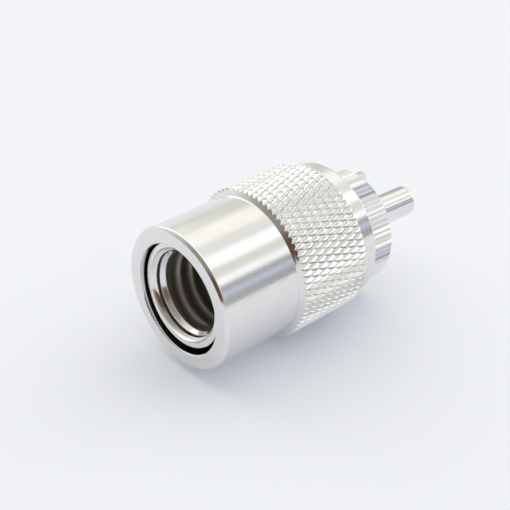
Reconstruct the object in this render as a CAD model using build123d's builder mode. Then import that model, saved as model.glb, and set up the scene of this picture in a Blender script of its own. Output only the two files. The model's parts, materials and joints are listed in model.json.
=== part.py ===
"""A screw-on coaxial plug lying on its knurled coupling ring, the ring drawn back from the plug's flange.

Millimetres. +X runs from the cable end to the centre pin, +Z is up, and the origin is on the surface
that the plug lies on, under the middle of its length. The plug hangs loose in the ring, so its own axis
droops a little towards the pin, and everything of the plug is drawn on planes that carry that droop.
"""

import os
from math import atan2, cos, pi, sin

from build123d import *

os.makedirs("parts", exist_ok=True)

# Coupling thread, 5/8 inch by 24 to the inch, cut inside the front of the ring
thread_major_diameter = 15.875
thread_pitch = 25.4 / 24
thread_depth_factor = 0.5413
relief_depth = 0.1
relief_width = 1.3

# Coupling ring: a sleeve, a diamond-knurled band and a smooth front lip, turned as one piece
sleeve_length = 11.1
sleeve_wall = 1.965
sleeve_edge = 0.42
shoulder_length = 0.5
shoulder_step = 0.05
guide_bore_length = 13.5
guide_bore_edge = 0.12
knurl_length = 9.9
knurl_wall = 2.095
knurl_depth = 0.39
knurl_count = 72
knurl_rows = 8
band_overlap = 0.3
lip_length = 2.6
lip_wall = 1.335
lip_edge = 0.3
mouth_chamfer = 0.55

# Plug body: a flange with serrations and two locating nibs, a waist with solder holes, a rear tube
flange_clearance = 0.085
flange_length = 3.85
flange_edge = 0.25
flange_standoff = 0.2
serration_count = 72
serration_depth = 0.22
nib_length = 1.15
nib_width = 1.0
nib_depth = 1.2
nib_turn = 4.5
flange_rise = 0.88
rim_recess = 0.75
rim_edge = 0.1
rim_width = 0.5
collar_length = 2.4
waist_length = 7.0
waist_depth = 0.5
waist_slope = 0.4
solder_hole_diameter = 3.2

# Cable end of the plug body
countersink_length = 0.65
countersink_step = 0.64
countersink_bow = 1.3
entry_length = 0.3
cable_bore_wall = 1.58
cable_bore_length = 12.0
braid_bore_step = 0.7

# Insulator, pushed in from the front against a shoulder
insulator_wall = 2.92
insulator_head = 3.6
insulator_tail = 3.1
insulator_edge = 0.2
seat_clearance = 0.02

# Centre contact, a hollow pin with a collar behind the insulator
pin_diameter = 3.96
pin_reach = 10.4
pin_edge = 0.35
pin_wall = 0.7
contact_seat_rise = 0.18
contact_collar_rise = 0.75
contact_collar_length = 1.2
contact_tail = 1.8
contact_funnel = 0.45

# How the loose plug lies in the ring's guide bore
guide_clearance = 0.355
guide_gap = 0.045

# Radii, each from the thread outwards or inwards
thread_minor_radius = thread_major_diameter / 2 - thread_depth_factor * thread_pitch
relief_radius = thread_major_diameter / 2 + relief_depth
flange_radius = thread_minor_radius - flange_clearance
tube_radius = flange_radius - flange_rise
waist_radius = tube_radius - waist_depth
guide_radius = tube_radius + guide_clearance
sleeve_radius = guide_radius + sleeve_wall
lip_radius = thread_minor_radius + lip_wall
knurl_radius = thread_minor_radius + knurl_wall
knurl_root_radius = knurl_radius - knurl_depth
shoulder_radius = knurl_root_radius - shoulder_step
rim_inner_radius = tube_radius - rim_width
countersink_radius = rim_inner_radius - countersink_step
cable_bore_radius = tube_radius - cable_bore_wall
braid_bore_radius = cable_bore_radius - braid_bore_step
pin_radius = pin_diameter / 2
wire_bore_radius = pin_radius - pin_wall
contact_seat_radius = pin_radius + contact_seat_rise
collar_radius = pin_radius + contact_collar_rise
insulator_bore_radius = contact_seat_radius + seat_clearance
insulator_radius = insulator_bore_radius + insulator_wall
seat_radius = insulator_radius + seat_clearance
insulator_tail_radius = braid_bore_radius - seat_clearance

# Distances along the ring from its rear face
knurl_end = sleeve_length + knurl_length
ring_length = knurl_end + lip_length

# The droop leaves the tube a hair off the guide bore, at the top behind and at the bottom in front
sag = guide_clearance - guide_gap
droop = atan2(2 * sag, guide_bore_length - rim_recess)

# Stations along the plug from its rear rim
cable_bore_start = countersink_length + entry_length
flange_rear = (ring_length - rim_recess + flange_radius * sin(droop) + flange_standoff) / cos(droop)
flange_front = flange_rear + flange_length
waist_end = flange_rear - collar_length
waist_start = waist_end - waist_length
solder_station = (waist_start + waist_end) / 2
seat_station = flange_front - insulator_head
insulator_rear = seat_station - insulator_tail
pin_tip = flange_front + pin_reach
contact_rear = insulator_rear - contact_collar_length - contact_tail

# Tips of neighbouring rows of the knurl stand half a diamond apart, and the ring lies on one of each
tip_step = pi / knurl_count
rest_height = knurl_radius * cos(tip_step / 2)
overall_length = rim_recess + pin_tip * cos(droop) + (pin_radius - pin_edge) * sin(droop)

ring_rear = Vector(-overall_length / 2, 0, rest_height)
ring_section = Plane(origin=ring_rear, x_dir=(1, 0, 0), z_dir=(0, -1, 0))
ring_axis = Axis(ring_rear, (1, 0, 0))

plug_rear = ring_rear + Vector(rim_recess, 0, sag)
plug_direction = Vector(cos(droop), 0, -sin(droop))
plug_section = Plane(origin=plug_rear, x_dir=plug_direction, z_dir=(0, -1, 0))
plug_face = Plane(origin=plug_rear, x_dir=(0, 1, 0), z_dir=plug_direction)
plug_axis = Axis(plug_rear, plug_direction)


def knurl_point(row, step):
    """A corner of the knurl: tips and groove crossings take turns around each row and along the ring."""
    radius = knurl_radius if (row + step) % 2 == 0 else knurl_root_radius
    angle = tip_step * (step + 0.5) - pi / 2
    along = sleeve_length + knurl_length * row / knurl_rows
    return ring_rear + Vector(along, radius * cos(angle), radius * sin(angle))


def knurl_facets():
    """Two facets in each cell, split along the groove that joins its two low corners."""
    facets = []
    for row in range(knurl_rows):
        for step in range(2 * knurl_count):
            here = knurl_point(row, step)
            beside = knurl_point(row, step + 1)
            beyond = knurl_point(row + 1, step)
            across = knurl_point(row + 1, step + 1)
            if (row + step) % 2 == 0:
                corners = [(here, beside, beyond), (across, beyond, beside)]
            else:
                corners = [(beside, across, here), (beyond, here, across)]
            facets += [Face(Wire.make_polygon(triple)) for triple in corners]
    return facets


def knurl_end_face(row):
    """The band's flat end, with the zigzag of tips and grooves round it and a hole inside the wall."""
    outline = Wire.make_polygon([knurl_point(row, step) for step in range(2 * knurl_count)])
    along = sleeve_length + knurl_length * row / knurl_rows
    inside = Plane(origin=ring_rear + Vector(along, 0, 0), z_dir=(1, 0, 0))
    return Face(outline, [Wire.make_circle(sleeve_radius - band_overlap, inside)])


# The knurled band, a closed shell of flat facets joined by a plain cylinder within the ring's wall
band_inner = Solid.make_cylinder(
    sleeve_radius - band_overlap,
    knurl_length,
    Plane(origin=ring_rear + Vector(sleeve_length, 0, 0), z_dir=(1, 0, 0)),
)
band_wall = band_inner.faces().filter_by(GeomType.CYLINDER)
band_faces = knurl_facets() + [knurl_end_face(0), knurl_end_face(knurl_rows)] + band_wall
knurled_band = Solid(Shell(band_faces))

# Coupling ring, with a hollow shoulder that lifts the sleeve towards the knurl
with BuildPart() as coupling_ring:
    with BuildSketch(ring_section):
        with BuildLine():
            TangentArc(
                (sleeve_length - shoulder_length, sleeve_radius),
                (sleeve_length, shoulder_radius),
                tangent=(1, 0),
            )
            Polyline(
                (sleeve_length, shoulder_radius),
                (sleeve_length + band_overlap, sleeve_radius),
                (knurl_end - band_overlap, sleeve_radius),
                (knurl_end - band_overlap, lip_radius),
                (ring_length - lip_edge, lip_radius),
                (ring_length, lip_radius - lip_edge),
                (ring_length, 0),
                (0, 0),
                (0, sleeve_radius - sleeve_edge),
                (sleeve_edge, sleeve_radius),
                (sleeve_length - shoulder_length, sleeve_radius),
            )
        make_face()
    revolve(axis=ring_axis)
    with BuildSketch(ring_section):
        with BuildLine():
            Polyline(
                (0, 0),
                (0, guide_radius + guide_bore_edge),
                (guide_bore_edge, guide_radius),
                (guide_bore_length, guide_radius),
                (guide_bore_length, relief_radius),
                (guide_bore_length + relief_width, relief_radius),
                (guide_bore_length + relief_width, thread_minor_radius),
                (ring_length - mouth_chamfer, thread_minor_radius),
                (ring_length, thread_minor_radius + mouth_chamfer),
                (ring_length, 0),
                close=True,
            )
        make_face()
    revolve(axis=ring_axis, mode=Mode.SUBTRACT)
    add(knurled_band)
coupling_ring.part.label = "coupling_ring"
export_step(coupling_ring.part, "parts/coupling_ring.step")

# Plug body, the flange first, so that its edges are turned before the tube joins it
with BuildPart() as plug_body:
    with BuildSketch(plug_face.offset(flange_rear)):
        tooth = pi / serration_count
        root_radius = flange_radius - serration_depth
        with BuildLine():
            Polyline(
                [
                    (radius * cos(angle), radius * sin(angle))
                    for step in range(serration_count)
                    for radius, angle in (
                        (flange_radius, 2 * tooth * step),
                        (root_radius, 2 * tooth * step + tooth),
                    )
                ],
                close=True,
            )
        make_face()
    extrude(amount=flange_length)
    with BuildSketch(plug_section):
        with BuildLine():
            Polyline(
                (flange_rear, 0),
                (flange_rear, flange_radius - flange_edge),
                (flange_rear + flange_edge, flange_radius),
                (flange_front - flange_edge, flange_radius),
                (flange_front, flange_radius - flange_edge),
                (flange_front, 0),
                close=True,
            )
        make_face()
    revolve(axis=plug_axis, mode=Mode.INTERSECT)
    with BuildSketch(plug_section):
        with BuildLine():
            Polyline(
                (0, 0),
                (0, tube_radius - rim_edge),
                (rim_edge, tube_radius),
                (waist_start, tube_radius),
                (waist_start + waist_slope, waist_radius),
                (waist_end - waist_slope, waist_radius),
                (waist_end, tube_radius),
                (flange_rear + flange_edge, tube_radius),
                (flange_rear + flange_edge, 0),
                close=True,
            )
        make_face()
    revolve(axis=plug_axis)
    with BuildSketch(plug_face.offset(flange_front)):
        nib_outer = flange_radius - flange_edge
        Circle(nib_outer)
        Circle(nib_outer - nib_depth, mode=Mode.SUBTRACT)
        Rectangle(nib_width, 2 * flange_radius, rotation=nib_turn, mode=Mode.INTERSECT)
    extrude(amount=nib_length)
    with BuildSketch(plug_section):
        with BuildLine():
            RadiusArc((0, rim_inner_radius), (countersink_length, countersink_radius), countersink_bow)
            Polyline(
                (countersink_length, countersink_radius),
                (cable_bore_start, countersink_radius),
                (cable_bore_start, cable_bore_radius),
                (cable_bore_length, cable_bore_radius),
                (cable_bore_length + braid_bore_step, braid_bore_radius),
                (seat_station, braid_bore_radius),
                (seat_station, seat_radius),
                (flange_front, seat_radius),
                (flange_front, 0),
                (0, 0),
                (0, rim_inner_radius),
            )
        make_face()
    revolve(axis=plug_axis, mode=Mode.SUBTRACT)
    solder_centre = plug_rear + plug_direction * solder_station
    for across in (plug_section.z_dir, plug_section.y_dir):
        with BuildSketch(Plane(origin=solder_centre, x_dir=plug_direction, z_dir=across)):
            Circle(solder_hole_diameter / 2)
        extrude(amount=tube_radius, both=True, mode=Mode.SUBTRACT)
plug_body.part.label = "plug_body"
export_step(plug_body.part, "parts/plug_body.step")

# Insulator, its head flush with the flange and its tail in the braid bore
with BuildPart() as insulator:
    with BuildSketch(plug_section):
        with BuildLine():
            Polyline(
                (insulator_rear, insulator_bore_radius),
                (insulator_rear, insulator_tail_radius - insulator_edge),
                (insulator_rear + insulator_edge, insulator_tail_radius),
                (seat_station, insulator_tail_radius),
                (seat_station, insulator_radius),
                (flange_front - insulator_edge, insulator_radius),
                (flange_front, insulator_radius - insulator_edge),
                (flange_front, insulator_bore_radius),
                close=True,
            )
        make_face()
    revolve(axis=plug_axis)
insulator.part.label = "insulator"
export_step(insulator.part, "parts/insulator.step")

# Centre contact, bored right through for the cable's wire
with BuildPart() as centre_contact:
    with BuildSketch(plug_section):
        with BuildLine():
            Polyline(
                (contact_rear, wire_bore_radius + contact_funnel),
                (contact_rear, pin_radius),
                (insulator_rear - contact_collar_length, pin_radius),
                (insulator_rear - contact_collar_length, collar_radius),
                (insulator_rear, collar_radius),
                (insulator_rear, contact_seat_radius),
                (flange_front, contact_seat_radius),
                (flange_front, pin_radius),
                (pin_tip - pin_edge, pin_radius),
                (pin_tip, pin_radius - pin_edge),
                (pin_tip, wire_bore_radius),
                (contact_rear + contact_funnel, wire_bore_radius),
                close=True,
            )
        make_face()
    revolve(axis=plug_axis)
centre_contact.part.label = "centre_contact"
export_step(centre_contact.part, "parts/centre_contact.step")
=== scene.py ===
import json
import math

import bmesh
import bpy
from mathutils import Matrix, Vector


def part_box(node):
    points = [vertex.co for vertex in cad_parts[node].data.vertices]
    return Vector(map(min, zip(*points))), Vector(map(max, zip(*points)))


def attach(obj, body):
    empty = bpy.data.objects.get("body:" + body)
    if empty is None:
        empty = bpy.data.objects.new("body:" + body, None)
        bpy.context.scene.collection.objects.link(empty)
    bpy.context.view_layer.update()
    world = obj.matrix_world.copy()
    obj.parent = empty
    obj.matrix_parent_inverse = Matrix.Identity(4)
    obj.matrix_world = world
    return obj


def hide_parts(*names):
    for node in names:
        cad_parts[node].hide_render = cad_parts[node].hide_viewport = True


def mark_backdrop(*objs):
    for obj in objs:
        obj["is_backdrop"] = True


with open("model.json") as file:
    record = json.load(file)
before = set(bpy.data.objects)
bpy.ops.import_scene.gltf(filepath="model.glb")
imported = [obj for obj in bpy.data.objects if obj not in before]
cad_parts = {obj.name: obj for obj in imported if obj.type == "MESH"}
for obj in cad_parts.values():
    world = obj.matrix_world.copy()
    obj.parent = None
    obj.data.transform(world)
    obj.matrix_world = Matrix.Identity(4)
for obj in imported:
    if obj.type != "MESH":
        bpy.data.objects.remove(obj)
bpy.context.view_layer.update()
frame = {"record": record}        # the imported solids, in metres, +X from the cable end to the pin
mm = 0.001

# The two axes everything is turned about, taken from the frame
mounts = {mount["name"]: mount for mount in frame["record"]["mounts"]}
ringLow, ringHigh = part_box("coupling_ring")
ringRear = Vector((ringLow.x, 0, (ringLow.z + ringHigh.z) / 2))
plugDirection = Vector(mounts["centre_pin"]["axis"]).normalized()
boreMiddle = Vector(mounts["cable_entry"]["pos_m"])
boreMiddleFromRim = 6.475
plugRear = boreMiddle - plugDirection * boreMiddleFromRim * mm
sideways = Vector((0, 1, 0))


def axisPlace(rear, direction):
    # millimetres along local Z become metres along the piece's own axis
    up = direction.cross(sideways)
    turn = Matrix((sideways, up, direction)).transposed().to_4x4()
    return Matrix.Translation(rear) @ turn @ Matrix.Scale(mm, 4)


ringPlace = axisPlace(ringRear, Vector((1, 0, 0)))
plugPlace = axisPlace(plugRear, plugDirection)


# Node trees written as Python
class Strand:
    # one output socket, and arithmetic on it adds Math nodes
    def __init__(self, bench, socket):
        self.bench = bench
        self.socket = socket

    def __add__(self, other):
        return self.bench.maths("ADD", self, other)

    def __sub__(self, other):
        return self.bench.maths("SUBTRACT", self, other)

    def __rsub__(self, other):
        return self.bench.maths("SUBTRACT", other, self)

    def __mul__(self, other):
        return self.bench.maths("MULTIPLY", self, other)

    def __truediv__(self, other):
        return self.bench.maths("DIVIDE", self, other)

    __radd__ = __add__
    __rmul__ = __mul__


class Bench:
    # one node tree, with a single method that makes every node
    def __init__(self, tree):
        self.tree = tree

    def add(self, kind, settings=None, values=None):
        node = self.tree.nodes.new(kind)
        for name, setting in (settings or {}).items():
            setattr(node, name, setting)
        for key, value in (values or {}).items():
            if isinstance(value, Strand):
                self.tree.links.new(value.socket, node.inputs[key])
            else:
                node.inputs[key].default_value = value
        return [Strand(self, socket) for socket in node.outputs]

    def maths(self, operation, *values):
        return self.add("ShaderNodeMath", {"operation": operation}, dict(enumerate(values)))[0]

    def vector(self, operation, *values):
        return self.add("ShaderNodeVectorMath", {"operation": operation}, dict(enumerate(values)))

    def scaled(self, vector, factor):
        return self.add("ShaderNodeVectorMath", {"operation": "SCALE"}, {"Vector": vector, "Scale": factor})[0]

    def split(self, vector):
        return self.add("ShaderNodeSeparateXYZ", values={0: vector})

    def joined(self, x, y, z):
        return self.add("ShaderNodeCombineXYZ", values={0: x, 1: y, 2: z})[0]

    def ease(self, value, low, high, start=0.0, end=1.0):
        smooth = {"interpolation_type": "SMOOTHSTEP"}
        values = {"Value": value, "From Min": low, "From Max": high, "To Min": start, "To Max": end}
        return self.add("ShaderNodeMapRange", smooth, values)[0]

    def tint(self, share, first, second):
        mixing = {"data_type": "RGBA"}
        return self.add("ShaderNodeMix", mixing, {0: share, 6: first, 7: second})[2]

    def noise(self, vector, scale, detail=2.0, roughness=0.5):
        values = {"Vector": vector, "Scale": scale, "Detail": detail, "Roughness": roughness}
        return self.add("ShaderNodeTexNoise", values=values)[0]


def geometryBench(name, inputs):
    tree = bpy.data.node_groups.new(name, "GeometryNodeTree")
    tree.interface.new_socket(name="Geometry", in_out="OUTPUT", socket_type="NodeSocketGeometry")
    for label, value in inputs.items():
        kind = "NodeSocketInt" if isinstance(value, int) else "NodeSocketFloat"
        tree.interface.new_socket(name=label, in_out="INPUT", socket_type=kind)
    tree.interface.new_socket(name="Finish", in_out="INPUT", socket_type="NodeSocketMaterial")
    bench = Bench(tree)
    strands = bench.add("NodeGroupInput")
    bench.inputs = dict(zip(list(inputs) + ["Finish"], strands))
    return bench


def endTree(bench, geometry):
    real = bench.add("GeometryNodeRealizeInstances", values={"Geometry": geometry})[0]
    finish = {"Geometry": real, "Material": bench.inputs["Finish"]}
    made = bench.add("GeometryNodeSetMaterial", values=finish)[0]
    bench.add("NodeGroupOutput", values={0: made})
    return bench.tree


def fromTree(name, tree, inputs, finish):
    # runs a tree on an empty mesh and keeps only the plain mesh that comes out
    holder = bpy.data.objects.new(name, bpy.data.meshes.new(name))
    bpy.context.scene.collection.objects.link(holder)
    modifier = holder.modifiers.new("shape", "NODES")
    modifier.node_group = tree
    values = dict(inputs, Finish=finish)
    for item in tree.interface.items_tree:
        if item.in_out == "INPUT":
            modifier[item.identifier] = values[item.name]
    return settled(holder)


def settled(holder):
    graph = bpy.context.evaluated_depsgraph_get()
    mesh = bpy.data.meshes.new_from_object(holder.evaluated_get(graph))
    holder.modifiers.clear()
    old = holder.data
    holder.data = mesh
    bpy.data.meshes.remove(old)
    return holder


# Turned shapes and how they are joined and cut
lathe = {"columns": 288, "easeSteps": 4, "hold": 0.03, "sharpAngle": 28}


def eased(corners):
    # rounds each corner that names a reach, with a short flat left beside it so that the shading stays flat
    outline = []
    for index, corner in enumerate(corners):
        here = Vector(corner[:2])
        reach = corner[2] if len(corner) > 2 else 0
        if reach == 0:
            outline.append(here)
            continue
        back = (Vector(corners[index - 1][:2]) - here).normalized()
        ahead = (Vector(corners[(index + 1) % len(corners)][:2]) - here).normalized()
        outline.append(here + back * (reach + lathe["hold"]))
        for step in range(lathe["easeSteps"] + 1):
            share = step / lathe["easeSteps"]
            outline.append(here + back * reach * (1 - share) ** 2 + ahead * reach * share ** 2)
        outline.append(here + ahead * (reach + lathe["hold"]))
    return outline


def bowed(start, end, radius, steps=8):
    # points along an arc, its centre on the left of the way from start to end, or on the right if negative
    start = Vector(start)
    end = Vector(end)
    chord = end - start
    left = Vector((-chord.y, chord.x)).normalized()
    rise = math.sqrt(radius * radius - chord.length_squared / 4)
    centre = (start + end) / 2 + left * math.copysign(rise, radius)
    sweep = math.copysign(2 * math.asin(chord.length / 2 / abs(radius)), radius)
    arm = start - centre
    return [tuple(centre + Matrix.Rotation(sweep * step / steps, 2) @ arm) for step in range(steps + 1)]


def turned(name, corners, columns=None):
    # a closed outline of (along, radius) in millimetres, swept round local Z
    columns = columns or lathe["columns"]
    outline = eased(corners)
    rows = len(outline)
    vertices = []
    for along, radius in outline:
        for column in range(columns):
            angle = 2 * math.pi * column / columns
            vertices.append((radius * math.cos(angle), radius * math.sin(angle), along))
    faces = []
    for row in range(rows):
        following = (row + 1) % rows
        for column in range(columns):
            beside = (column + 1) % columns
            faces.append((row * columns + column, row * columns + beside,
                          following * columns + beside, following * columns + column))
    mesh = bpy.data.meshes.new(name)
    mesh.from_pydata(vertices, [], faces)
    return outward(linked(name, mesh))


def linked(name, mesh):
    piece = bpy.data.objects.new(name, mesh)
    bpy.context.scene.collection.objects.link(piece)
    return piece


def outward(piece):
    shape = bmesh.new()
    shape.from_mesh(piece.data)
    bmesh.ops.remove_doubles(shape, verts=shape.verts, dist=0.0005)
    bmesh.ops.recalc_face_normals(shape, faces=shape.faces)
    shape.to_mesh(piece.data)
    shape.free()
    return piece


def carved(piece, *steps):
    # joins and cuts in order, and the tools are thrown away afterwards
    for operation, tool in steps:
        modifier = piece.modifiers.new(operation, "BOOLEAN")
        modifier.operation = operation
        modifier.object = tool
        modifier.solver = "MANIFOLD"
    settled(piece)
    for operation, tool in steps:
        bpy.data.objects.remove(tool)
    return piece


def finished(piece, place, material):
    # into metres on its axis, shaded smooth between its real edges
    piece.data.transform(place)
    piece.data.materials.clear()
    piece.data.materials.append(material)
    shape = bmesh.new()
    shape.from_mesh(piece.data)
    limit = math.radians(lathe["sharpAngle"])
    for face in shape.faces:
        face.smooth = True
        face.material_index = 0
    for edge in shape.edges:
        edge.smooth = len(edge.link_faces) == 2 and edge.calc_face_angle(0) < limit
    shape.to_mesh(piece.data)
    shape.free()
    triangles = sum(len(polygon.vertices) - 2 for polygon in piece.data.polygons)
    print(piece.name, "has", triangles, "triangles")
    return piece


# Finishes
nickel = {
    "bright": (0.80, 0.797, 0.79, 1),
    "clouded": (0.765, 0.76, 0.745, 1),
    "cloudPerMm": 0.35,
    "cloudRange": (0.35, 0.7),
    "cloudShare": 0.7,
    "cloudRoughness": 0.03,
    "roughness": 0.13,
    "roughnessSwing": 0.06,
    "grainPerMm": 4.2,
    "grainShare": 0.7,
    "grainHeight": 5.0e-6,
    "speckleTimes": 3,
    "toolLinesPerMm": 7.0,
    "toolLineHeight": 0.8e-6,
}
# painted shade: inside the cable bore the nickel's colour is darkened towards this colour, where shade falls in the
# recess; its roughness and grain smoothing change the surface itself
boreShade = {
    "colour": (0.40, 0.37, 0.34, 1),
    "radius": 5.6,
    "blend": 0.25,
    "start": 1.4,
    "startBlend": 0.25,
    "roughness": 0.36,
    "smoothing": 0.8,
}
knurlShine = {"radius": 9.0, "blend": 0.08, "roughness": -0.06}
resin = {
    "dark": (0.045, 0.018, 0.009, 1),
    "light": (0.12, 0.05, 0.022, 1),
    "toneRange": (0.38, 0.66),
    "roughness": 0.38,
    "roughnessSwing": 0.12,
    "fleckPerMm": 3.0,
    "fleckShare": 0.6,
    "fleckHeight": 3e-6,
    "cloudPerMm": 0.5,
}


def materialBench(name):
    material = bpy.data.materials.new(name)
    material.use_nodes = True
    material.node_tree.nodes.clear()
    bench = Bench(material.node_tree)
    place = bench.add("ShaderNodeTexCoord")[3]
    bench.spot = bench.scaled(place, 1 / mm)        # millimetres
    return material, bench


def endMaterial(bench, values, height, distance):
    bump = {"Strength": 1.0, "Distance": distance, "Height": height}
    values = dict(values, Normal=bench.add("ShaderNodeBump", values=bump)[0])
    shader = bench.add("ShaderNodeBsdfPrincipled", values=values)[0]
    bench.add("ShaderNodeOutputMaterial", values={0: shader})


def alongAndOut(bench, rear, direction):
    # how far along an axis a point lies, and how far out from it, in millimetres
    arm = bench.vector("SUBTRACT", bench.spot, tuple(rear / mm))[0]
    along = bench.vector("DOT_PRODUCT", arm, tuple(direction))[1]
    onAxis = bench.scaled(tuple(direction), along)
    out = bench.vector("LENGTH", bench.vector("SUBTRACT", arm, onAxis)[0])[1]
    return along, out


def nickelPlate(name, rear, direction, bore=None, tips=None):
    material, bench = materialBench(name)
    along, out = alongAndOut(bench, rear, direction)
    cloud = bench.ease(bench.noise(bench.spot, nickel["cloudPerMm"], 3.0), *nickel["cloudRange"])
    grain = bench.noise(bench.spot, nickel["grainPerMm"], 3.0, 0.6)
    speckle = bench.noise(bench.spot, nickel["grainPerMm"] * nickel["speckleTimes"], 1.0)
    # lines left by the turning tool, long round the piece and short along it
    acrossLines = bench.joined(along * nickel["toolLinesPerMm"], out * nickel["toolLinesPerMm"], 0.0)
    toolLines = bench.noise(acrossLines, 1.0)
    colour = bench.tint(cloud * nickel["cloudShare"], nickel["bright"], nickel["clouded"])
    # inside the bore the colour is darkened, a painted shade in the recess
    if bore:
        inside = bench.ease(out, bore["radius"], bore["radius"] - bore["blend"])
        inside = inside * bench.ease(along, bore["start"], bore["start"] + bore["startBlend"])
        colour = bench.tint(inside, colour, bore["colour"])
    rough = nickel["roughness"] + nickel["roughnessSwing"] * (grain - 0.5) + nickel["cloudRoughness"] * cloud
    height = grain * nickel["grainShare"] + speckle * (1 - nickel["grainShare"])
    height = height + toolLines * (nickel["toolLineHeight"] / nickel["grainHeight"])
    if bore:
        rough = rough + inside * bore["roughness"]
        height = height * (1 - inside * bore["smoothing"])
    if tips:
        onTips = bench.ease(out, tips["radius"], tips["radius"] + tips["blend"])
        rough = rough + onTips * tips["roughness"]
    values = {"Base Color": colour, "Metallic": 1.0, "Roughness": rough}
    endMaterial(bench, values, height, nickel["grainHeight"])
    return material


def pressedResin(name):
    material, bench = materialBench(name)
    fleck = bench.noise(bench.spot, resin["fleckPerMm"], 4.0, 0.65)
    cloud = bench.noise(bench.spot, resin["cloudPerMm"])
    tone = fleck * resin["fleckShare"] + cloud * (1 - resin["fleckShare"])
    colour = bench.tint(bench.ease(tone, *resin["toneRange"]), resin["dark"], resin["light"])
    values = {"Base Color": colour, "Roughness": resin["roughness"] + resin["roughnessSwing"] * (fleck - 0.5)}
    endMaterial(bench, values, fleck, resin["fleckHeight"])
    return material


ringNickel = nickelPlate("ring_nickel", ringRear, Vector((1, 0, 0)), tips=knurlShine)
bodyNickel = nickelPlate("body_nickel", plugRear, plugDirection, boreShade)
contactNickel = nickelPlate("contact_nickel", plugRear, plugDirection)
insulatorResin = pressedResin("insulator_resin")
print("finishes made")


# Threads, as a helical cutter whose groove is either V shaped or round
def threadCutterTree(name, rounded, sizes):
    bench = geometryBench(name, sizes)
    size = bench.inputs
    depth = size["Major Radius"] - size["Minor Radius"]
    spiral = bench.add("GeometryNodeCurveSpiral", values={
        "Resolution": size["Steps"], "Rotations": size["Turns"], "Start Radius": size["Minor Radius"],
        "End Radius": size["Minor Radius"], "Height": size["Turns"] * size["Pitch"], "Reverse": True})[0]
    # the groove runs in and out over part of a turn
    turn = bench.add("GeometryNodeSplineParameter")[0] * size["Turns"]
    runIn = bench.ease(turn, 0.0, size["Run In"] + 0.0001)
    runOut = bench.ease(size["Turns"] - turn, 0.0, size["Run Out"] + 0.0001)
    lift = 1 - (1 - runIn * runOut) * (depth * 1.02 + size["Overlap"]) / size["Minor Radius"]
    spot = bench.split(bench.add("GeometryNodeInputPosition")[0])
    faded = bench.joined(spot[0] * lift, spot[1] * lift, spot[2])
    helix = bench.add("GeometryNodeSetPosition", values={"Geometry": spiral, "Position": faded})[0]
    helix = bench.add("GeometryNodeSetCurveNormal", {"mode": "Z_UP"}, {"Curve": helix})[0]
    if rounded:
        circle = bench.add("GeometryNodeCurvePrimitiveCircle", values={"Resolution": 20, "Radius": 1.0})[0]
        stretch = bench.joined(depth, size["Groove Width"] / 2, 1.0)
        profile = bench.add("GeometryNodeTransform", values={"Geometry": circle, "Scale": stretch})[0]
    else:
        slope = (size["Groove Width"] - size["Root Width"]) / depth
        wide = size["Groove Width"] + slope * size["Overlap"]
        trapezoid = bench.add("GeometryNodeCurvePrimitiveQuadrilateral", {"mode": "TRAPEZOID"}, {
            "Height": depth + size["Overlap"], "Bottom Width": wide, "Top Width": size["Root Width"],
            "Offset": 0.0})[0]
        shift = bench.joined((depth - size["Overlap"]) / 2, 0.0, 0.0)
        profile = bench.add("GeometryNodeTransform", values={
            "Geometry": trapezoid, "Translation": shift, "Rotation": (0, 0, -math.pi / 2)})[0]
    swept = {"Curve": helix, "Profile Curve": profile, "Fill Caps": True}
    return endTree(bench, bench.add("GeometryNodeCurveToMesh", values=swept)[0])


def threadCutter(name, rounded, sizes, start, turn, finish):
    cutter = fromTree(name, threadCutterTree(name, rounded, sizes), sizes, finish)
    cutter.data.transform(Matrix.Translation((0, 0, start)) @ Matrix.Rotation(math.radians(turn), 4, "Z"))
    return outward(cutter)


# Coupling ring
ring = {
    "length": 23.6,
    "sleeveRadius": 8.7196,
    "sleeveEdge": 0.34,
    "shoulderStart": 10.78,
    "shoulderEnd": (11.05, 9.075),
    "shoulderBow": 4.0,
    "bandOverlap": 0.3,
    "guideRadius": 6.7546,
    "guideLength": 13.5,
    "guideEdge": 0.12,
    "reliefRadius": 8.0375,
    "reliefWidth": 1.3,
    "threadMinor": 7.3646,
    "mouthChamfer": 0.55,
    "lipRadius": 8.6996,
    "lipEdge": 0.3,
    "fineEase": 0.04,
    "edgeEase": 0.09,
}
knurl = {
    "start": 11.1,
    "rearTop": (11.28, 9.40),
    "end": 21.0,
    "spareRow": 1.2375,
    "innerRadius": 8.35,
    "endChamfer": 0.14,
    "clear": 0.15,
    "sizes": {"Tip Radius": 9.457, "Depth": 0.32, "Length": 12.375, "Inner Radius": 8.3, "Tip Flat": 0.16,
              "Long Flat": 0.5, "Crowding": 0.75, "Bulge": 0.04, "Merge Distance": 0.002, "Count": 72, "Rows": 10},
}
couplingThread = {
    "start": 14.25,
    "turn": 0,
    "sizes": {"Major Radius": 7.9375, "Minor Radius": 7.3646, "Pitch": 25.4 / 24, "Turns": 9.4, "Groove Width": 0.79,
              "Root Width": 0.13, "Overlap": 0.1, "Run In": 0.0, "Run Out": 0.0, "Steps": 96},
}


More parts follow.
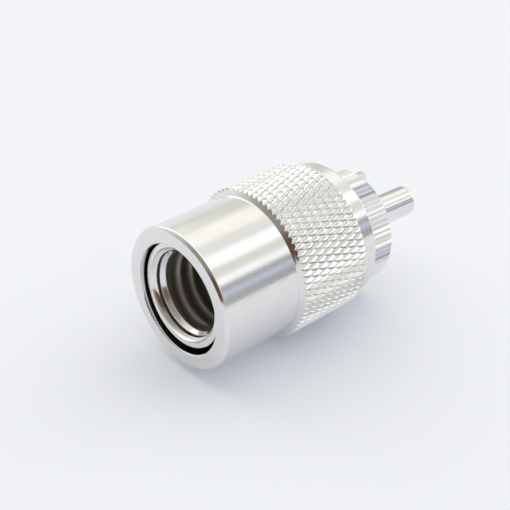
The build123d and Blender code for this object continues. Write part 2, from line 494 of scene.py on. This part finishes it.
def knurlTree(sizes):
    bench = geometryBench("diamondKnurl", sizes)
    size = bench.inputs
    flat = size["Tip Flat"]
    stepAngle = bench.maths("DIVIDE", math.pi, size["Count"])
    # one diamond: a bulging four-sided pyramid whose rings crowd towards the groove and the flat tip
    pyramid = bench.add("GeometryNodeMeshCone", {"fill_type": "TRIANGLE_FAN"}, {
        "Vertices": 4, "Side Segments": 5, "Radius Top": flat, "Radius Bottom": 1.0, "Depth": 1.0})[0]
    facing = bench.split(bench.add("GeometryNodeInputNormal")[0])[2]
    underside = bench.maths("LESS_THAN", facing, -0.5)
    pyramid = bench.add("GeometryNodeDeleteGeometry", {"domain": "FACE"}, {0: pyramid, 1: underside})[0]
    spot = bench.split(bench.add("GeometryNodeInputPosition")[0])
    reach = bench.maths("ABSOLUTE", spot[0]) + bench.maths("ABSOLUTE", spot[1])
    climb = bench.maths("MINIMUM", (1 - reach) / (1 - flat), 1.0)
    crowded = bench.ease(climb, 0.0, 1.0) * size["Crowding"] + climb * (1 - size["Crowding"])
    pull = (1 - (1 - flat) * crowded) / bench.maths("MAXIMUM", reach, 0.001)
    rise = crowded + bench.maths("SINE", crowded * math.pi) * size["Bulge"]
    shaped = bench.joined(spot[0] * pull, spot[1] * pull, rise)
    diamond = bench.add("GeometryNodeSetPosition", values={"Geometry": pyramid, "Position": shaped})[0]
    # tips of neighbouring rows stand half a diamond apart
    index = bench.add("GeometryNodeInputIndex")[0]
    row = bench.maths("FLOOR", (index + 0.5) / size["Count"])
    across = 2 * (index - row * size["Count"]) + bench.maths("MODULO", row + 1, 2.0)
    middle = bench.joined(across, row, 0.0)
    points = bench.add("GeometryNodePoints", values={
        "Count": size["Count"] * (size["Rows"] + 1), "Position": middle})[0]
    points = bench.add("GeometryNodeStoreNamedAttribute", {"data_type": "FLOAT_VECTOR"}, {
        "Geometry": points, "Name": "middle", "Value": middle})[0]
    field = bench.add("GeometryNodeInstanceOnPoints", values={"Points": points, "Instance": diamond})[0]
    field = bench.add("GeometryNodeRealizeInstances", values={"Geometry": field})[0]
    # the flat on a tip is longer one way, as one of the two sets of grooves was pressed deeper
    # the spare rows at both ends keep their shape, so that the band closes
    middle = bench.add("GeometryNodeInputNamedAttribute", {"data_type": "FLOAT_VECTOR"}, {"Name": "middle"})[0]
    row = bench.split(middle)[1]
    spare = bench.maths("LESS_THAN", bench.maths("MINIMUM", row, size["Rows"] - row), 0.5)
    place = bench.add("GeometryNodeInputPosition")[0]
    spot = bench.split(bench.vector("SUBTRACT", place, middle)[0])
    height = bench.maths("MINIMUM", spot[2], 1.0)
    lengthened = (1 - (1 - size["Long Flat"]) * height) / (1 - (1 - flat) * height)
    ridge = (spot[1] - spot[0]) * lengthened
    side = spot[1] + spot[0]
    stretched = bench.vector("ADD", middle, bench.joined((side - ridge) * 0.5, (side + ridge) * 0.5, spot[2]))[0]
    field = bench.add("GeometryNodeSetPosition", values={
        "Geometry": field, "Selection": 1 - spare, "Position": stretched})[0]
    spot = bench.split(bench.add("GeometryNodeInputPosition")[0])
    beyond = bench.maths("LESS_THAN", bench.maths("MINIMUM", spot[1], size["Rows"] - spot[1]), -0.001)
    field = bench.add("GeometryNodeDeleteGeometry", {"domain": "FACE"}, {0: field, 1: beyond})[0]
    # wrapped round the ring
    spot = bench.split(bench.add("GeometryNodeInputPosition")[0])
    angle = (spot[0] + 0.5) * stepAngle - math.pi / 2
    rowLength = size["Length"] / size["Rows"]
    radius = size["Tip Radius"] - (1 - spot[2]) * size["Depth"]
    wrapped = bench.joined(radius * bench.maths("COSINE", angle), radius * bench.maths("SINE", angle),
                           spot[1] * rowLength)
    band = bench.add("GeometryNodeSetPosition", values={"Geometry": field, "Position": wrapped})[0]
    band = bench.add("GeometryNodeMergeByDistance", values={"Geometry": band, "Distance": size["Merge Distance"]})[0]
    # both end faces, then the inner wall that closes the band
    openEdge = bench.maths("COMPARE", bench.add("GeometryNodeInputMeshEdgeNeighbors")[0], 1.0, 0.1)
    faced = bench.add("GeometryNodeExtrudeMesh", {"mode": "EDGES"}, {
        "Mesh": band, "Selection": openEdge, "Offset Scale": 0.0})
    spot = bench.split(bench.add("GeometryNodeInputPosition")[0])
    out = bench.maths("SQRT", spot[0] * spot[0] + spot[1] * spot[1])
    inward = size["Inner Radius"] / out
    band = bench.add("GeometryNodeSetPosition", values={
        "Geometry": faced[0], "Selection": faced[1],
        "Position": bench.joined(spot[0] * inward, spot[1] * inward, spot[2])})[0]
    spot = bench.split(bench.add("GeometryNodeInputPosition")[0])
    openEdge = bench.maths("COMPARE", bench.add("GeometryNodeInputMeshEdgeNeighbors")[0], 1.0, 0.1)
    rearEdge = openEdge * bench.maths("LESS_THAN", spot[2], size["Length"] / 2)
    walled = bench.add("GeometryNodeExtrudeMesh", {"mode": "EDGES"}, {
        "Mesh": band, "Selection": rearEdge, "Offset Scale": 0.0})
    band = bench.add("GeometryNodeSetPosition", values={
        "Geometry": walled[0], "Selection": walled[1],
        "Position": bench.joined(spot[0], spot[1], size["Length"])})[0]
    band = bench.add("GeometryNodeMergeByDistance", values={"Geometry": band, "Distance": size["Merge Distance"]})[0]
    return endTree(bench, band)


def makeKnurledBand():
    # made one row too long at each end, then cut to the shoulder's slope behind and to a chamfer in front
    band = fromTree("knurled_band", knurlTree(knurl["sizes"]), knurl["sizes"], ringNickel)
    band.data.transform(Matrix.Translation((0, 0, knurl["start"] - knurl["spareRow"])))
    foot = (ring["shoulderEnd"][0] + 0.005, ring["shoulderEnd"][1] + 0.006)
    top = knurl["rearTop"]
    tip = knurl["sizes"]["Tip Radius"]
    clear = knurl["clear"]
    envelope = turned("band_envelope", [
        (foot[0], knurl["innerRadius"]),
        *bowed(foot, top, ring["shoulderBow"], 4),
        (top[0] + clear / 2, tip + clear),
        (knurl["end"] - knurl["endChamfer"] - clear, tip + clear),
        (knurl["end"], tip - knurl["endChamfer"]),
        (knurl["end"], knurl["innerRadius"]),
    ])
    return carved(outward(band), ("INTERSECT", envelope))


def makeCouplingRing():
    bandStep = knurl["end"] - ring["bandOverlap"]        # hidden under the knurl
    shoulder = ring["shoulderEnd"][1]
    fine = ring["fineEase"]
    soft = ring["edgeEase"]
    reliefEnd = ring["guideLength"] + ring["reliefWidth"]
    piece = turned("knurled_ring", [
        (0, ring["guideRadius"] + ring["guideEdge"], fine),
        (0, ring["sleeveRadius"] - ring["sleeveEdge"], soft),
        (ring["sleeveEdge"], ring["sleeveRadius"], soft),
        (ring["shoulderStart"] - lathe["hold"], ring["sleeveRadius"]),
        *bowed((ring["shoulderStart"], ring["sleeveRadius"]), ring["shoulderEnd"], ring["shoulderBow"]),
        (bandStep, shoulder),
        (bandStep, ring["lipRadius"]),
        (ring["length"] - ring["lipEdge"], ring["lipRadius"], soft),
        (ring["length"], ring["lipRadius"] - ring["lipEdge"], soft),
        (ring["length"], ring["threadMinor"] + ring["mouthChamfer"], fine),
        (ring["length"] - ring["mouthChamfer"], ring["threadMinor"]),
        (reliefEnd, ring["threadMinor"]),
        (reliefEnd, ring["reliefRadius"]),
        (ring["guideLength"], ring["reliefRadius"]),
        (ring["guideLength"], ring["guideRadius"], fine),
        (ring["guideEdge"], ring["guideRadius"], fine),
    ])
    cutter = threadCutter("coupling_thread_cutter", False, couplingThread["sizes"], couplingThread["start"],
                          couplingThread["turn"], ringNickel)
    carved(piece, ("UNION", makeKnurledBand()), ("DIFFERENCE", cutter))
    return finished(piece, ringPlace, ringNickel)


# Plug body
body = {
    "rimInner": 5.72,
    "rimEdge": 0.1,
    "tubeRadius": 6.3996,
    "waistStart": 14.031,
    "waistEnd": 21.031,
    "waistRadius": 5.8996,
    "waistSlope": 0.4,
    "flangeRear": 23.431,
    "flangeFront": 27.281,
    "flangeRadius": 7.2796,
    "flangeEdge": 0.25,
    "countersinkLength": 0.52,
    "countersinkRadius": 5.2596,
    "countersinkBow": 1.3,
    "entryLength": 0.46,
    "leadIn": 0.56,
    "cableBore": 4.8196,
    "cableBoreEnd": 12.0,
    "braidBore": 4.1196,
    "braidStep": 0.7,
    "seatStation": 23.681,
    "seatRadius": 5.12,
    "starClear": 0.02,
    "core": 1.0,
    "overlap": 0.3,
    "fineEase": 0.035,
    "edgeEase": 0.08,
}
serration = {"Count": 72, "Tip Radius": 7.2796, "Depth": 0.22, "Length": 3.85}
nib = {"length": 1.15, "width": 1.0, "depth": 1.2, "turn": 4.5, "ease": 0.05}
solderHole = {"radius": 1.6, "station": 17.531, "sides": 64}
cableThread = {
    "start": 2.45,
    "turn": -120,
    "sizes": {"Major Radius": 5.32, "Minor Radius": 4.8196, "Pitch": 1.8, "Turns": 5.4, "Groove Width": 1.5,
              "Root Width": 0.0, "Overlap": 0.0, "Run In": 0.12, "Run Out": 0.5, "Steps": 96},
}


def serrationTree(sizes):
    bench = geometryBench("flangeSerration", sizes)
    size = bench.inputs
    star = bench.add("GeometryNodeCurveStar", values={
        "Points": size["Count"], "Inner Radius": size["Tip Radius"] - size["Depth"],
        "Outer Radius": size["Tip Radius"]})[0]
    line = bench.add("GeometryNodeCurvePrimitiveLine", values={"End": bench.joined(0.0, 0.0, size["Length"])})[0]
    swept = {"Curve": line, "Profile Curve": star, "Fill Caps": True}
    return endTree(bench, bench.add("GeometryNodeCurveToMesh", values=swept)[0])


def makeFlange():
    discRadius = body["flangeRadius"] - body["starClear"]
    disc = turned("flange_disc", [
        (body["flangeRear"], body["core"]),
        (body["flangeRear"], body["flangeRadius"] - body["flangeEdge"], body["edgeEase"]),
        (body["flangeRear"] + body["flangeEdge"], discRadius, body["edgeEase"]),
        (body["flangeFront"] - body["flangeEdge"], discRadius, body["edgeEase"]),
        (body["flangeFront"], body["flangeRadius"] - body["flangeEdge"], body["edgeEase"]),
        (body["flangeFront"], body["core"]),
    ])
    longer = dict(serration, Length=serration["Length"] + 2 * body["overlap"])
    star = fromTree("flange_star", serrationTree(longer), longer, bodyNickel)
    star.data.transform(Matrix.Translation((0, 0, body["flangeRear"] - body["overlap"])))
    return carved(disc, ("INTERSECT", outward(star)))


def makeNibs():
    outer = body["flangeRadius"] - body["flangeEdge"]
    front = body["flangeFront"] + nib["length"]
    collar = turned("nib_collar", [
        (body["flangeFront"] - body["overlap"], outer - nib["depth"]),
        (body["flangeFront"] - body["overlap"], outer),
        (front, outer, nib["ease"]),
        (front, outer - nib["depth"], nib["ease"]),
    ])
    shape = bmesh.new()
    bmesh.ops.create_cube(shape, size=1.0)
    bmesh.ops.scale(shape, vec=(nib["width"], 4 * outer, 4 * nib["length"]), verts=shape.verts)
    mesh = bpy.data.meshes.new("nib_bar")
    shape.to_mesh(mesh)
    shape.free()
    mesh.transform(Matrix.Translation((0, 0, front)) @ Matrix.Rotation(math.radians(nib["turn"]), 4, "Z"))
    return carved(collar, ("INTERSECT", linked("nib_bar", mesh)))


def solderHoleCutter(turn):
    shape = bmesh.new()
    bmesh.ops.create_cone(shape, cap_ends=True, segments=solderHole["sides"], radius1=solderHole["radius"],
                          radius2=solderHole["radius"], depth=4 * body["tubeRadius"])
    mesh = bpy.data.meshes.new("solder_hole")
    shape.to_mesh(mesh)
    shape.free()
    mesh.transform(Matrix.Translation((0, 0, solderHole["station"])) @ Matrix.Rotation(math.pi / 2, 4, turn))
    return outward(linked("solder_hole", mesh))


def makePlugBody():
    fine = body["fineEase"]
    soft = body["edgeEase"]
    slope = body["waistSlope"]
    hiddenFront = body["flangeFront"] - body["overlap"]
    piece = turned("solder_body", [
        (0, body["core"]),
        (0, body["tubeRadius"] - body["rimEdge"], fine),
        (body["rimEdge"], body["tubeRadius"], fine),
        (body["waistStart"], body["tubeRadius"], soft),
        (body["waistStart"] + slope, body["waistRadius"], soft),
        (body["waistEnd"] - slope, body["waistRadius"], soft),
        (body["waistEnd"], body["tubeRadius"], soft),
        (hiddenFront, body["tubeRadius"]),
        (hiddenFront, body["core"]),
    ])
    entryEnd = body["countersinkLength"] + body["entryLength"]
    frontOut = body["flangeFront"] + 1
    countersinkEnd = (body["countersinkLength"], body["countersinkRadius"])
    bore = turned("bore_cutter", [
        (-1, body["core"] / 2),
        (-1, body["rimInner"]),
        *bowed((0, body["rimInner"]), countersinkEnd, -body["countersinkBow"]),
        (entryEnd, body["countersinkRadius"], soft),
        (entryEnd + body["leadIn"], body["cableBore"], soft),
        (body["cableBoreEnd"], body["cableBore"]),
        (body["cableBoreEnd"] + body["braidStep"], body["braidBore"]),
        (body["seatStation"], body["braidBore"]),
        (body["seatStation"], body["seatRadius"]),
        (frontOut, body["seatRadius"]),
        (frontOut, body["core"] / 2),
    ])
    thread = threadCutter("cable_thread_cutter", True, cableThread["sizes"], cableThread["start"],
                          cableThread["turn"], bodyNickel)
    carved(piece, ("UNION", makeFlange()), ("UNION", makeNibs()), ("DIFFERENCE", bore), ("DIFFERENCE", thread),
           ("DIFFERENCE", solderHoleCutter("X")), ("DIFFERENCE", solderHoleCutter("Y")))
    return finished(piece, plugPlace, bodyNickel)


# Insulator
disc = {
    "front": 27.281,
    "seatStation": 23.681,
    "rear": 20.581,
    "radius": 5.1,
    "tailRadius": 4.0996,
    "bore": 2.18,
    "edge": 0.2,
    "ease": 0.06,
}


def makeInsulator():
    piece = turned("resin_insulator", [
        (disc["rear"], disc["bore"]),
        (disc["rear"], disc["tailRadius"] - disc["edge"], disc["ease"]),
        (disc["rear"] + disc["edge"], disc["tailRadius"], disc["ease"]),
        (disc["seatStation"], disc["tailRadius"]),
        (disc["seatStation"], disc["radius"]),
        (disc["front"] - disc["edge"], disc["radius"], disc["ease"]),
        (disc["front"], disc["radius"] - disc["edge"], disc["ease"]),
        (disc["front"], disc["bore"], disc["ease"] / 2),
    ])
    return finished(piece, plugPlace, insulatorResin)


# Centre contact
pin = {
    "tip": 37.681,
    "radius": 1.98,
    "edge": 0.35,
    "edgeEase": 0.14,
    "bore": 1.28,
    "seatRadius": 2.16,
    "seatFront": 27.281,
    "collarRadius": 2.73,
    "collarLength": 1.2,
    "rear": 17.581,
    "tail": 1.8,
    "funnel": 0.45,
    "fineEase": 0.04,
}


def makeContact():
    fine = pin["fineEase"]
    collarRear = pin["rear"] + pin["tail"]
    collarFront = collarRear + pin["collarLength"]
    piece = turned("hollow_pin", [
        (pin["rear"], pin["bore"] + pin["funnel"], fine),
        (pin["rear"], pin["radius"], fine),
        (collarRear, pin["radius"]),
        (collarRear, pin["collarRadius"], fine),
        (collarFront, pin["collarRadius"]),
        (collarFront, pin["seatRadius"]),
        (pin["seatFront"], pin["seatRadius"]),
        (pin["seatFront"], pin["radius"]),
        (pin["tip"] - pin["edge"], pin["radius"], pin["edgeEase"]),
        (pin["tip"], pin["radius"] - pin["edge"], pin["edgeEase"]),
        (pin["tip"], pin["bore"], fine),
        (pin["rear"] + pin["funnel"], pin["bore"], fine),
    ])
    return finished(piece, plugPlace, contactNickel)


pieces = [
    (makeCouplingRing(), "coupling_ring", "ring", "ring_nickel"),
    (makePlugBody(), "plug_body", "plug", "body_nickel"),
    (makeInsulator(), "insulator", "plug", "insulator"),
    (makeContact(), "centre_contact", "plug", "contact_nickel"),
]
for piece, node, carrier, slot in pieces:
    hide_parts(node)
    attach(piece, carrier)
print("pieces made")

# Floor
floor = {
    "radius": 1.2,
    "colour": (0.775, 0.780, 0.812, 1),
    "paleness": (0.140, 0.157, 0.192, 1),        # seen by the camera and in the metal, lights nothing
    "roughness": 0.9,
    "weavePerMm": 0.6,
    "weaveHeight": 1e-6,
    "segments": 96,
}


def seenDirectly(bench):
    # 1 for what the camera sees, also by way of metal or glass
    rays = bench.add("ShaderNodeLightPath")
    camera, glossy, transmission = rays[0], rays[3], rays[6]
    return bench.maths("MAXIMUM", bench.maths("MAXIMUM", camera, glossy), transmission)


def makeFloor():
    shape = bmesh.new()
    bmesh.ops.create_circle(shape, cap_ends=True, segments=floor["segments"], radius=floor["radius"])
    mesh = bpy.data.meshes.new("floor")
    shape.to_mesh(mesh)
    shape.free()
    piece = linked("floor", mesh)
    material, bench = materialBench("paper_floor")
    weave = bench.noise(bench.spot, floor["weavePerMm"])
    pale = bench.tint(seenDirectly(bench), (0, 0, 0, 1), floor["paleness"])
    values = {"Base Color": floor["colour"], "Roughness": floor["roughness"], "Emission Color": pale,
              "Emission Strength": 1.0}
    endMaterial(bench, values, weave, floor["weaveHeight"])
    mesh.materials.append(material)
    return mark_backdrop(piece)


# Studio light: a pale sky with a few long soft panels and one dark screen lying along the plug
# Each strip is (middle, half width, softness, colour), in degrees round +X, 0 straight up and 90 towards -Y
# Each patch is (direction, full within, gone beyond, colour), in degrees away from its direction
studio = {
    "sky": (0.90, 0.91, 0.92, 1),
    "background": (0.925, 0.934, 0.957, 1),
    "strips": {
        "warmWall": (-58, 14, 16, (0.79, 0.78, 0.69, 1)),
        "farPanel": (-24, 15, 18, (1.22, 1.20, 1.11, 1)),
        "frameBar": (-3, 4.5, 6, (0.96, 0.94, 0.88, 1)),
        "topPanel": (21, 10, 7, (1.30, 1.30, 1.30, 1)),
        "warmGap": (38, 5, 6, (0.86, 0.84, 0.74, 1)),
        "sidePanel": (53, 5, 4, (1.26, 1.26, 1.25, 1)),
        "darkScreen": (79, 19, 6, (0.43, 0.43, 0.44, 1)),
        "blueWindow": (73, 4.5, 5, (0.62, 0.67, 0.86, 1)),
    },
    "screens": ("darkScreen", "blueWindow"),
    "screenStart": (0.36, 0.53),
    "patches": {
        "softBox": ((0.000, -0.120, 0.990), 16, 33, (1.40, 1.40, 1.39, 1)),
        "farWindow": ((0.080, 0.780, 0.600), 20, 30, (1.55, 1.55, 1.50, 1)),
        "nearSide": ((-0.130, -0.970, 0.150), 20, 44, (0.70, 0.69, 0.63, 1)),
        "farEnd": ((0.900, 0.430, 0.080), 14, 29, (0.44, 0.43, 0.37, 1)),
        "endWindow": ((0.970, -0.150, 0.190), 13, 27, (1.60, 1.60, 1.60, 1)),
        "darkRoom": ((-0.936, -0.220, 0.275), 30, 72, (0.33, 0.325, 0.27, 1)),
        "brownShade": ((-0.891, -0.446, 0.079), 15, 33, (0.14, 0.07, 0.045, 1)),
    },
}


def makeStudio():
    world = bpy.data.worlds.new("studio")
    world.use_nodes = True
    world.node_tree.nodes.clear()
    bpy.context.scene.world = world
    bench = Bench(world.node_tree)
    way = bench.add("ShaderNodeTexCoord")[0]
    direction = bench.split(way)
    angle = bench.maths("ARCTAN2", 0 - direction[1], direction[2]) * (180 / math.pi)
    light = studio["sky"]
    # the screens begin some way along, the other strips run the whole length
    begun = bench.ease(direction[0], *studio["screenStart"])
    for name, (middle, half, softness, colour) in studio["strips"].items():
        away = bench.maths("ABSOLUTE", angle - middle)
        inside = bench.ease(away, half + softness / 2, half - softness / 2)
        if name in studio["screens"]:
            inside = inside * begun
        light = bench.tint(inside, light, colour)
    for middle, full, gone, colour in studio["patches"].values():
        near = bench.vector("DOT_PRODUCT", way, tuple(Vector(middle).normalized()))[1]
        inside = bench.ease(near, math.cos(math.radians(gone)), math.cos(math.radians(full)))
        light = bench.tint(inside, light, colour)
    seen = bench.add("ShaderNodeLightPath")[0]
    light = bench.tint(seen, light, studio["background"])
    background = bench.add("ShaderNodeBackground", values={"Color": light, "Strength": 1.0})[0]
    bench.add("ShaderNodeOutputWorld", values={0: background})


# Camera, at the photograph's height and angle
cameraView = {
    "place": (-84.873, -86.070, 83.107),
    "right": (0.7433, -0.6692, 0.0),
    "forward": (0.5669, 0.6296, -0.5312),
    "lens": 82.04,
}


def makeCamera():
    data = bpy.data.cameras.new("camera")
    data.lens = cameraView["lens"]
    data.sensor_width = 36
    data.clip_start = 0.005
    data.clip_end = 20
    camera = linked("camera", data)
    right = Vector(cameraView["right"]).normalized()
    backward = -Vector(cameraView["forward"]).normalized()
    up = backward.cross(right)
    turn = Matrix((right, up, backward)).transposed().to_4x4()
    camera.matrix_world = Matrix.Translation(Vector(cameraView["place"]) * mm) @ turn
    bpy.context.scene.camera = camera


makeFloor()
makeStudio()
makeCamera()
bpy.context.scene.view_settings.view_transform = "Standard"
print("floor, light and camera made")
